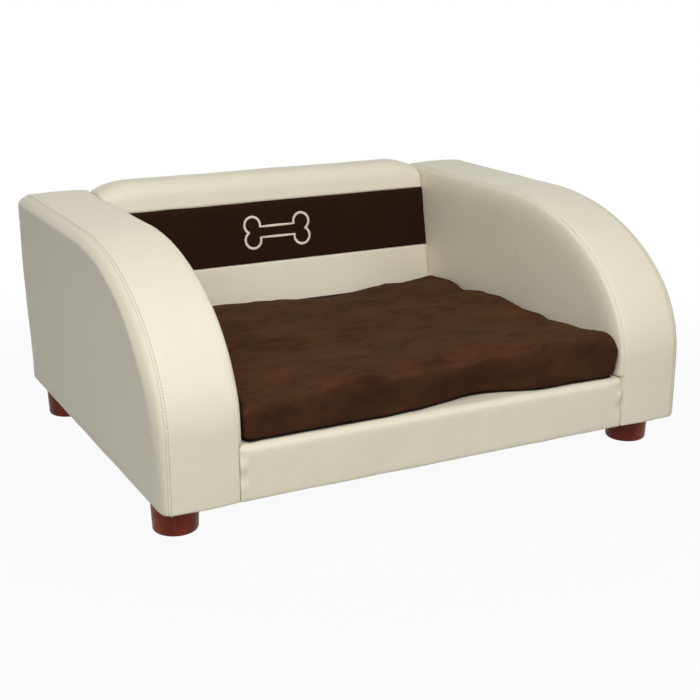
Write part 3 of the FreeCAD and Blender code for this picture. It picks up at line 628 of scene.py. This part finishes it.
def keep_in(co):
    """Holds the cover off the deck, the arms and the back, and flat behind the zip."""
    x = max(-inner_face + 0.0012, min(inner_face - 0.0012, co.x))
    y = max(rail_front + 0.001, min(zip_low.y - 0.0004, co.y))
    beside_zip = abs(co.x) < zip_high.x + 0.01 and zip_low.z - 0.006 < co.z < zip_high.z + 0.006
    if beside_zip and co.y > zip_low.y - 0.012:
        y = zip_low.y - 0.0004
    return Vector((x, y, max(cushion_low.z + 0.0003, co.z)))


reshape(cushion, keep_in)
modified(cushion, "SUBSURF", levels=1, render_levels=1)
take(cushion)
bpy.ops.object.shade_smooth()
heights = [v.co.z for v in cushion.data.vertices]
print("cushion from", round(min(heights), 4), "to", round(max(heights), 4))

# %% The black base cloth
base_low, base_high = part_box("cushion_base_cloth")
take(cushion)
bpy.ops.object.duplicate()
base = placed("cushion_base_sheet")
edit(base)
bpy.ops.mesh.select_all(action="SELECT")
bpy.ops.mesh.bisect(plane_co=(0, 0, 0.119), plane_no=(0, 0, 1), use_fill=True, clear_outer=True)
outwards()
base_bottom = min(v.co.z for v in base.data.vertices)
thin = (base_high.z - base_low.z - 0.0002) / (0.119 - base_bottom)
wide = base_low.x / min(v.co.x for v in base.data.vertices)
deep = (base_low.y - 0.003) / min(v.co.y for v in base.data.vertices)
reshape(base, lambda co: Vector((
    co.x * wide, co.y * (deep if co.y < 0 else 1), base_low.z + 0.0001 + (co.z - base_bottom) * thin)))
print("base cloth", len(base.data.polygons), "faces")

# %% [markdown]
# ## Stitches
# Topstitching is what tells the eye how large this bed is. One stitch is a tiny rounded grain of thread.
# An array repeats it every 4 mm and a curve carries the row along the seam, which is how a long seam stays
# light and even. The arm's outline is reused as the curve, moved a few millimetres onto the strip.


# %% Sew a row of stitches
def stitch_row(name, path, pitch, long, wide):
    """One stitch repeated along a wire, which is used up."""
    take(path)
    bpy.ops.object.convert(target="CURVE")
    put_down()
    bpy.ops.mesh.primitive_uv_sphere_add(segments=6, ring_count=5, radius=0.5, rotation=(0, math.pi / 2, 0))
    row = placed(name)
    reshape(row, lambda co: Vector((co.x * long, co.y * wide, co.z * wide)))
    modified(row, "ARRAY", fit_type="FIT_CURVE", curve=path, use_relative_offset=False,
             use_constant_offset=True, constant_offset_displace=(pitch, 0, 0))
    modified(row, "CURVE", object=path, deform_axis="POS_X")
    take(row)
    bpy.ops.object.shade_smooth()
    bpy.data.objects.remove(path)
    print(name, len(row.data.polygons), "faces")
    return row


def seam_path(x, strip, out):
    """The arm's outline as an open wire at x, laid on the strip."""
    wire = arm_outline("wire", x, cover_low)
    pick(wire, "EDGE", lambda e: all(v.co.z < cover_low + 1e-5 for v in e.verts))
    bpy.ops.mesh.delete(type="EDGE_FACE")
    pick(wire, "EDGE", lambda e: e.calc_length() > 0.02)
    bpy.ops.mesh.subdivide(number_cuts=24)
    bpy.ops.object.mode_set(mode="OBJECT")
    modified(wire, "SHRINKWRAP", target=strip, wrap_mode="ABOVE_SURFACE", offset=out)
    return wire


def welt(name, path, radius):
    """A thin sewn edge along a wire, which is used up."""
    take(path)
    bpy.ops.object.convert(target="CURVE")
    path.data.bevel_depth = radius
    path.data.bevel_resolution = 1
    path.data.use_fill_caps = True
    bpy.ops.object.convert(target="MESH")
    cord = placed(name)
    bpy.ops.object.shade_smooth()
    print(name, len(cord.data.polygons), "faces")
    return cord


# %% The rows on both arms
rows = []
welts = []
for side, sign in (("left", -1), ("right", 1)):
    strip = arms[side][2]
    rows.append(stitch_row(side + "_arm_outer_stitches", seam_path(sign * (outer_seam - 0.0034), strip, 0.0003),
                           0.004, 0.0026, 0.0010))
    welts.append(welt(side + "_arm_inner_welt", seam_path(sign * (inner_seam + 0.0018), strip, 0.0002), 0.0009))

# %% [markdown]
# ## The embroidery on the band
# The band carries a sewn motif, here the plain outline of a bone. Four short cylinders and a bar are
# joined into one solid, and a cut through its middle leaves the outline as a wire. Satin stitch is
# thread laid side by side across that line, so the same row of stitches is used with the stitches turned
# across the path. It is sewn lying flat, then stood up against the slope of the band.

# %% Draw the bone
put_down()
lobes = []
for x in (-0.042, 0.042):
    for y in (-0.0115, 0.0115):
        bpy.ops.mesh.primitive_cylinder_add(vertices=40, radius=0.0132, depth=0.01, location=(x, y, 0))
        lobes.append(placed("lobe"))
bone = block("bone", (-0.042, -0.0085, -0.005), (0.042, 0.0085, 0.005))
for lobe in lobes:
    modified(bone, "BOOLEAN", operation="UNION", solver="EXACT", object=lobe)
    bpy.data.objects.remove(lobe)
edit(bone)
bpy.ops.mesh.select_all(action="SELECT")
bpy.ops.mesh.bisect(plane_co=(0, 0, 0), plane_no=(0, 0, 1), clear_inner=True, clear_outer=True)
bpy.ops.object.mode_set(mode="OBJECT")
print("bone outline", len(bone.data.edges), "edges")

# %% Sew it across the line
take(bone)
bpy.ops.object.convert(target="CURVE")
bone.data.dimensions = "2D"
put_down()
bpy.ops.mesh.primitive_uv_sphere_add(segments=6, ring_count=5, radius=0.5, rotation=(math.pi / 2, 0, 0))
motif = placed("band_embroidery")
reshape(motif, lambda co: Vector((co.x * 0.0009, co.y * 0.0044, co.z * 0.0012)))
modified(motif, "ARRAY", fit_type="FIT_CURVE", curve=bone, use_relative_offset=False,
         use_constant_offset=True, constant_offset_displace=(0.00066, 0, 0))
modified(motif, "CURVE", object=bone, deform_axis="POS_X")
bpy.data.objects.remove(bone)
motif_z = (band_low.z + band_high.z) / 2 + 0.001
motif.rotation_euler = (math.pi / 2 - math.atan(lean), 0, 0)
motif.location = (0.004, back_front(motif_z) - 0.0010, motif_z)
take(motif)
bpy.ops.object.transform_apply(location=True, rotation=True, scale=True)
bpy.ops.object.shade_smooth()
print("embroidery", len(motif.data.polygons), "faces")

# %% [markdown]
# ## Who each piece belongs to
# The frame's covers and pads ride on the frame, and the cushion's on the cushion. The CAD solids that each
# piece stands for are hidden.

# %% Ride and replace
def belongs(piece, body, finish, *nodes):
    """Ties a piece to its body and hides the CAD solids that it stands for. The finish is not used."""
    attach(piece, body)
    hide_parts(*nodes)


for side, (outer_pad, inner_pad, strip) in arms.items():
    belongs(outer_pad, "frame", "cream_leatherette", side + "_arm_outer_cover", side + "_arm_outer_foam")
    belongs(inner_pad, "frame", "cream_leatherette", side + "_arm_inner_cover", side + "_arm_inner_foam")
    belongs(strip, "frame", "cream_leatherette", side + "_arm_top_strip", side + "_arm_top_foam")
belongs(lower_panel, "frame", "cream_leatherette", "back_lower_panel")
belongs(band, "frame", "dark_suede_band", "back_band", "back_foam")
belongs(upper_panel, "frame", "cream_leatherette", "back_upper_panel", "back_top_roll")
belongs(rail, "frame", "cream_leatherette", "front_rail_cover", "front_rail_foam")
belongs(deck_pad, "frame", "foam", "deck_foam")
belongs(lining, "frame", "grey_lining", "deck_lining")
belongs(dust, "frame", "black_cloth", "dust_cover")
belongs(outside, "frame", "cream_leatherette", "outside_back_panel")
belongs(flap, "frame", "cream_leatherette", "back_upper_panel")
belongs(cushion, "cushion", "brown_suede", "cushion_cover", "cushion_core")
belongs(base, "cushion", "black_cloth", "cushion_base_cloth")
for row in rows + welts:
    belongs(row, "frame", "cream_leatherette")
belongs(motif, "frame", "cream_leatherette")

# %% [markdown]
# ## Finishes
# Every finish is worked out by nodes, so it has no picture to stretch or to repeat. One small class turns
# plain sums into Math nodes, and one method adds any other node. Patterns are placed by object
# coordinates, which stay with the piece when it moves.


# %% Sums and nodes
class Flow:
    """A value that runs between nodes, so that shader maths reads as plain sums."""

    def __init__(self, finish, socket):
        self.finish = finish
        self.socket = socket

    def maths(self, operation, first, second):
        return self.finish.node("ShaderNodeMath", {"operation": operation}, {0: first, 1: second})

    def __add__(self, other):
        return self.maths("ADD", self, other)

    def __radd__(self, other):
        return self.maths("ADD", other, self)

    def __sub__(self, other):
        return self.maths("SUBTRACT", self, other)

    def __rsub__(self, other):
        return self.maths("SUBTRACT", other, self)

    def __mul__(self, other):
        return self.maths("MULTIPLY", self, other)

    def __rmul__(self, other):
        return self.maths("MULTIPLY", other, self)


class Finish:
    """One material, built node by node."""

    def __init__(self, name, **fixed):
        self.material = bpy.data.materials.new(name)
        self.material.use_nodes = True
        self.tree = self.material.node_tree
        self.shader = self.tree.nodes["Principled BSDF"]
        for key, value in fixed.items():
            self.shader.inputs[key.replace("_", " ")].default_value = value
        self.place = self.node("ShaderNodeTexCoord", {}, {}, "Object")

    def node(self, kind, settings, inputs, output=0):
        """Adds a node, sets it, then gives its sockets their values or links."""
        made = self.tree.nodes.new(kind)
        for key, value in settings.items():
            if key == "stops":
                ramp = made.color_ramp.elements
                while len(ramp) < len(value):
                    ramp.new(0.5)
                for element, (position, shade) in zip(ramp, value):
                    element.position = position
                    element.color = shade
            else:
                setattr(made, key, value)
        for key, value in inputs.items():
            self.join(made.inputs[key], value)
        return Flow(self, made.outputs[output])

    def join(self, socket, value):
        """Links a flow to a socket, or sets the socket to a plain value."""
        if isinstance(value, Flow):
            self.tree.links.new(value.socket, socket)
        else:
            socket.default_value = value

    def spread(self, low, high, x):
        """Nought below low, one above high, and smooth between."""
        return self.node("ShaderNodeMapRange", {"interpolation_type": "SMOOTHSTEP"},
                         {"Value": x, "From Min": low, "From Max": high})

    def clouds(self, scale, detail=3, stretch=(1, 1, 1)):
        """Soft noise, stretched where the grain runs one way."""
        at = self.node("ShaderNodeMapping", {}, {"Vector": self.place, "Scale": stretch})
        return self.node("ShaderNodeTexNoise", {}, {"Vector": at, "Scale": scale, "Detail": detail})

    def cells(self, scale, feature="F1"):
        """Distance inside small irregular cells, as in a pressed leather grain."""
        return self.node("ShaderNodeTexVoronoi", {"feature": feature}, {"Vector": self.place, "Scale": scale})

    def between(self, share, first, second):
        """A colour between two colours."""
        return self.node("ShaderNodeMix", {"data_type": "RGBA"}, {0: share, 6: first, 7: second}, 2)

    def relief(self, height, strength, distance):
        """Turns a height into a normal on the shader."""
        bump = self.node("ShaderNodeBump", {}, {"Height": height, "Strength": strength, "Distance": distance})
        self.join(self.shader.inputs["Normal"], bump)

    def give(self, **sockets):
        """Feeds the shader's own sockets."""
        for key, value in sockets.items():
            self.join(self.shader.inputs[key.replace("_", " ")], value)


def shade(red, green, blue):
    """A screen colour from 0 to 255 as the linear colour that Blender works in."""
    parts = [v / 255 for v in (red, green, blue)]
    return (*[v / 12.92 if v <= 0.04045 else ((v + 0.055) / 1.055) ** 2.4 for v in parts], 1)


# %% [markdown]
# ## Leatherette
# The cover is a vinyl with a fine pressed grain and a soft satin light. Its cream is a little uneven, and
# a thin brown line of painted shade, standing in for the shadow of each seam's fold, runs along the arms' seams.

# %% Cream leatherette
def leatherette(name, seam_shade):
    """Cream vinyl; the second argument is how dark the painted shade along the arms' seams is."""
    made = Finish(name, Roughness=0.46, Specular_IOR_Level=0.4)
    parts = made.node("ShaderNodeSeparateXYZ", {}, {"Vector": made.place}, "X")
    across = made.node("ShaderNodeMath", {"operation": "ABSOLUTE"}, {0: parts})
    uneven = made.clouds(7, 4)
    cream = made.between(uneven, shade(230, 223, 198), shade(237, 231, 208))
    cream = made.between(made.spread(0.62, 0.75, made.clouds(60, 2)) * 0.25, cream, shade(226, 217, 186))
    # Painted shade: a thin brown line along the outer and inner seams of the arms stands in for the shadow of the
    # seam's fold.
    for seam, share in ((outer_seam, seam_shade), (inner_seam, 0.4 * seam_shade)):
        off = made.node("ShaderNodeMath", {"operation": "ABSOLUTE"}, {0: across - seam})
        line = (1 - made.spread(0.0003, 0.0013, off)) * share
        cream = made.between(line, cream, shade(150, 126, 92))
    grain = made.cells(620, "SMOOTH_F1") + 0.6 * made.clouds(240, 4)
    made.relief(grain, 0.28, 0.0006)
    made.give(Base_Color=cream, Roughness=0.40 + 0.14 * uneven)
    return made.material


cream_cover = leatherette("leatherette", 0.3)
thread = Finish("cream_thread", Roughness=0.55)
thread.give(Base_Color=thread.between(thread.clouds(900, 1), shade(214, 206, 186), shade(240, 234, 218)))
thread.relief(thread.clouds(2400, 1), 0.3, 0.0002)
seam_thread = Finish("tan_seam_thread", Roughness=0.6)
seam_thread.give(Base_Color=seam_thread.between(
    seam_thread.clouds(900, 1), shade(176, 160, 124), shade(206, 194, 164)))
seam_thread.relief(seam_thread.clouds(2400, 1), 0.3, 0.0002)

# %% [markdown]
# ## Suede
# Suede has a short nap that lies in streaks and patches, lighter where it was brushed one way and darker
# where it was brushed the other. Two layers of noise at different sizes give the patches, and a fine third
# layer gives the fibres; the sheen is left at nought for both suedes. The sides are painted shade: where
# the surface stands upright it is mixed towards the dark brown, so the sides come out darker than the top.

# %% Brown suede
def suede(name, dark, middle, light, sheen):
    """Brushed nap in three shades of one colour."""
    made = Finish(name, Roughness=0.92, Specular_IOR_Level=0.08, Sheen_Weight=sheen, Sheen_Roughness=0.5)
    made.shader.inputs["Sheen Tint"].default_value = light
    patches = made.clouds(16, 5, (1, 1.6, 1))
    streaks = made.clouds(70, 4, (0.5, 2.2, 1))
    fibres = made.clouds(900, 2)
    tone = made.between(made.spread(0.25, 0.75, 0.62 * patches + 0.38 * streaks), dark, light)
    tone = made.between(made.spread(0.35, 0.65, streaks) * 0.5, tone, middle)
    tone = made.between(made.spread(0.5, 0.8, fibres) * 0.3, tone, dark)
    # Painted shade: upright surfaces are mixed towards the dark shade, so the cushion's sides come out darker than
    # its top.
    level = made.node("ShaderNodeTexCoord", {}, {}, "Normal")
    level = made.node("ShaderNodeSeparateXYZ", {}, {"Vector": level}, "Z")
    painted_side_shade = (1 - made.spread(0.25, 0.9, level)) * 0.6
    tone = made.between(painted_side_shade, tone, dark)
    made.relief(0.7 * fibres + 0.5 * streaks, 0.4, 0.0007)
    made.give(Base_Color=tone)
    return made.material


cushion_suede = suede("cushion_suede", shade(56, 32, 19), shade(78, 48, 28), shade(92, 59, 34), 0.0)
band_suede = suede("band_suede", shade(38, 21, 14), shade(44, 26, 18), shade(52, 31, 22), 0.0)

# %% [markdown]
# ## Cloth, webbing and foam
# A plain weave is two crossed waves of thread. The lining, the dust cloth and the webbing differ in
# colour and in how wide the threads are. Foam is fine open cells.

# %% Woven cloth and foam
def woven(name, dark, light, pitch, rough):
    """A plain weave with threads a pitch apart."""
    made = Finish(name, Roughness=rough, Specular_IOR_Level=0.2)
    bands = []
    for direction in ("X", "Y"):
        bands.append(made.node("ShaderNodeTexWave", {"bands_direction": direction, "wave_type": "BANDS"},
                               {"Vector": made.place, "Scale": 0.32 / pitch, "Distortion": 0.4}, "Fac"))
    weave = bands[0] * bands[1]
    made.give(Base_Color=made.between(0.6 * weave + 0.5 * made.clouds(90, 3), dark, light))
    made.relief(weave, 0.4, 0.0003)
    return made.material


black_cloth = woven("black_cloth_weave", shade(17, 15, 15), shade(44, 40, 38), 0.0012, 0.85)
grey_cloth = woven("grey_lining_weave", shade(120, 126, 134), shade(168, 174, 180), 0.0010, 0.8)
webbing = woven("webbing_weave", shade(96, 80, 58), shade(150, 130, 98), 0.0022, 0.8)
foam_finish = Finish("foam_cells", Roughness=0.95, Specular_IOR_Level=0.1)
bubbles = foam_finish.cells(700)
foam_finish.give(Base_Color=foam_finish.between(bubbles, shade(188, 170, 112), shade(236, 222, 168)))
foam_finish.relief(bubbles, 0.5, 0.0006)

# %% [markdown]
# ## Wood and metal
# The feet are turned, stained a red cherry brown and lacquered, so their grain runs up the foot and
# their gloss comes from a clear coat. The hidden boards show plies at their edges, and the battens a
# plain pine grain.

# %% Stained wood
feet_wood = Finish("stained_cherry", Roughness=0.4, Specular_IOR_Level=0.2, Coat_Weight=0.08, Coat_Roughness=0.15)
rings = feet_wood.clouds(55, 5, (1, 1, 0.10))
pores = feet_wood.clouds(420, 3, (1, 1, 0.06))
cherry = feet_wood.between(feet_wood.spread(0.3, 0.7, rings), shade(84, 23, 5), shade(130, 47, 11))
cherry = feet_wood.between(feet_wood.spread(0.55, 0.75, pores) * 0.6, cherry, shade(54, 17, 7))
feet_wood.give(Base_Color=cherry, Roughness=0.36 + 0.2 * pores)
feet_wood.relief(pores + 0.5 * rings, 0.12, 0.0004)


# %% Plain wood
def plain_wood(name, dark, light, stretch, plies):
    """Pale wood with its grain drawn out along one way, or plies through its thickness."""
    made = Finish(name, Roughness=0.6)
    grain = made.clouds(38, 5, stretch)
    tone = made.between(made.spread(0.3, 0.7, grain), dark, light)
    if plies:
        layer = made.node("ShaderNodeTexWave", {"bands_direction": "X"},
                          {"Vector": made.place, "Scale": 120, "Distortion": 0.3}, "Fac")
        tone = made.between(0.3 * layer, tone, dark)
    made.give(Base_Color=tone)
    made.relief(grain, 0.2, 0.0005)
    return made.material


plywood = plain_wood("plywood_sheet", shade(176, 138, 92), shade(214, 182, 134), (1, 0.15, 1), True)
softwood = plain_wood("pine_batten", shade(196, 156, 104), shade(228, 196, 146), (0.1, 1, 1), False)


# %% Metal and nylon
def plated(name, tone, metal, rough):
    """Metal or nylon with a fine brushed unevenness."""
    made = Finish(name, Metallic=metal)
    brushed = made.clouds(600, 2, (1, 0.1, 1))
    made.give(Base_Color=made.between(brushed, shade(*[v * 0.85 for v in tone]), shade(*tone)),
              Roughness=rough + 0.15 * brushed)
    made.relief(brushed, 0.1, 0.0002)
    return made.material


steel = plated("zinc_plated_steel", (196, 198, 202), 1.0, 0.28)
zip_metal = plated("bronzed_zip_metal", (104, 84, 62), 0.9, 0.35)
zip_cloth = plated("zip_nylon_tape", (52, 34, 24), 0.0, 0.55)

# %% [markdown]
# ## Which finish goes where
# New pieces get one material each. The CAD solids that stay in view or inside keep their shape and have
# their own slots' materials exchanged for these.

# %% Give out the finishes
def wear(piece, material):
    """Puts one material on a new piece."""
    piece.data.materials.clear()
    piece.data.materials.append(material)


for pads in arms.values():
    for pad in pads:
        wear(pad, cream_cover)
for piece in (lower_panel, upper_panel, rail, outside, flap, *welts):
    wear(piece, cream_cover)
for row in rows:
    wear(row, seam_thread.material)
wear(motif, thread.material)
wear(band, band_suede)
wear(cushion, cushion_suede)
wear(base, black_cloth)
wear(dust, black_cloth)
wear(lining, grey_cloth)
wear(deck_pad, foam_finish.material)
by_slot = {
    "cream_leatherette": cream_cover, "dark_suede_band": band_suede, "brown_suede": cushion_suede,
    "black_cloth": black_cloth, "grey_lining": grey_cloth, "foam": foam_finish.material,
    "webbing": webbing, "plywood": plywood, "softwood": softwood, "stained_wood": feet_wood.material,
    "zinc_steel": steel, "zip_nylon": zip_cloth, "zip_metal": zip_metal,
}
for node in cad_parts.values():
    for place in node.material_slots:
        place.material = by_slot[place.material.name.split(".")[0]]
print("finishes", len(by_slot))

# %% [markdown]
# ## Floor, light and camera
# The bed stands on a white floor under soft studio light. The floor shows pure white to the camera, but
# part of it stays a real surface, so that the shadow under the bed still lies on it. The main lamp is
# large, high and in front on the right, so that the left side of each arm falls into a soft shade.

# %% The floor
put_down()
bpy.ops.mesh.primitive_plane_add(size=14, location=(0, 2, -0.0005))
floor = placed("floor")
paper = Finish("white_paper", Roughness=0.9)
paper.shader.inputs["Base Color"].default_value = (0.30, 0.30, 0.30, 1)


def seen_white(tree, shown, share):
    """Mixes plain white over a shader for the rays that look straight at it."""
    rays = tree.nodes.new("ShaderNodeLightPath")
    seen = tree.nodes.new("ShaderNodeMath")
    seen.operation = "MAXIMUM"
    tree.links.new(rays.outputs["Is Camera Ray"], seen.inputs[0])
    mirrored = tree.nodes.new("ShaderNodeMath")
    mirrored.operation = "MAXIMUM"
    tree.links.new(rays.outputs["Is Glossy Ray"], mirrored.inputs[0])
    tree.links.new(rays.outputs["Is Transmission Ray"], mirrored.inputs[1])
    tree.links.new(mirrored.outputs[0], seen.inputs[1])
    part = tree.nodes.new("ShaderNodeMath")
    part.operation = "MULTIPLY"
    part.inputs[1].default_value = share
    tree.links.new(seen.outputs[0], part.inputs[0])
    mix = tree.nodes.new("ShaderNodeMixShader")
    tree.links.new(part.outputs[0], mix.inputs[0])
    tree.links.new(shown.outputs[0], mix.inputs[1])
    return mix


glow = paper.tree.nodes.new("ShaderNodeEmission")
paper_mix = seen_white(paper.tree, paper.shader, 0.94)
reach = paper.node("ShaderNodeVectorMath", {"operation": "LENGTH"}, {0: paper.place}, "Value")
far = paper.spread(0.55, 1.1, reach)
paper.join(paper_mix.inputs[0].links[0].from_node.inputs[1], 0.94 + 0.06 * far)
paper.tree.links.new(glow.outputs[0], paper_mix.inputs[2])
paper.tree.links.new(paper_mix.outputs[0], paper.tree.nodes["Material Output"].inputs["Surface"])
wear(floor, paper.material)

# %% The world
world = bpy.data.worlds.new("studio")
bpy.context.scene.world = world
world.use_nodes = True
around = world.node_tree.nodes["Background"]
around.inputs["Color"].default_value = (1, 1, 1, 1)
around.inputs["Strength"].default_value = 0.20
backdrop = world.node_tree.nodes.new("ShaderNodeBackground")
backdrop.inputs["Color"].default_value = (1, 1, 1, 1)
world_mix = seen_white(world.node_tree, around, 1)
world.node_tree.links.new(backdrop.outputs[0], world_mix.inputs[2])
world.node_tree.links.new(world_mix.outputs[0], world.node_tree.nodes["World Output"].inputs["Surface"])


# %% The lamps
def lamp(name, at, aim, size, power):
    """A square soft lamp turned towards a point."""
    put_down()
    bpy.ops.object.light_add(type="AREA", location=at)
    light = bpy.context.object
    light.name = name
    light.data.shape = "SQUARE"
    light.data.size = size
    light.data.energy = power
    light.rotation_euler = (Vector(aim) - Vector(at)).to_track_quat("-Z", "Y").to_euler()


lamp("main_lamp", (0.9, -2.6, 1.5), (0, 0, 0.15), 1.6, 19)
lamp("top_lamp", (0.2, 0.2, 2.6), (0, 0, 0.2), 2.0, 3)
lamp("left_lamp", (-1.5, -2.2, 1.7), (0, 0, 0.2), 1.6, 38)
lamp("inner_lamp", (-0.32, -0.55, 1.35), (0.3, 0.0, 0.15), 0.5, 4)

# %% The camera
azimuth = math.radians(-27.39)
elevation = math.radians(17.06)
away = Vector((math.sin(azimuth) * math.cos(elevation), -math.cos(azimuth) * math.cos(elevation),
               math.sin(elevation)))
put_down()
bpy.ops.object.camera_add(location=(-0.8217, -1.6194, 0.6709))
camera = bpy.context.object
camera.rotation_euler = (-away).to_track_quat("-Z", "Y").to_euler()
camera.data.lens = 66.75
camera.data.sensor_width = 36
bpy.context.scene.camera = camera
bpy.context.scene.view_settings.view_transform = "Standard"
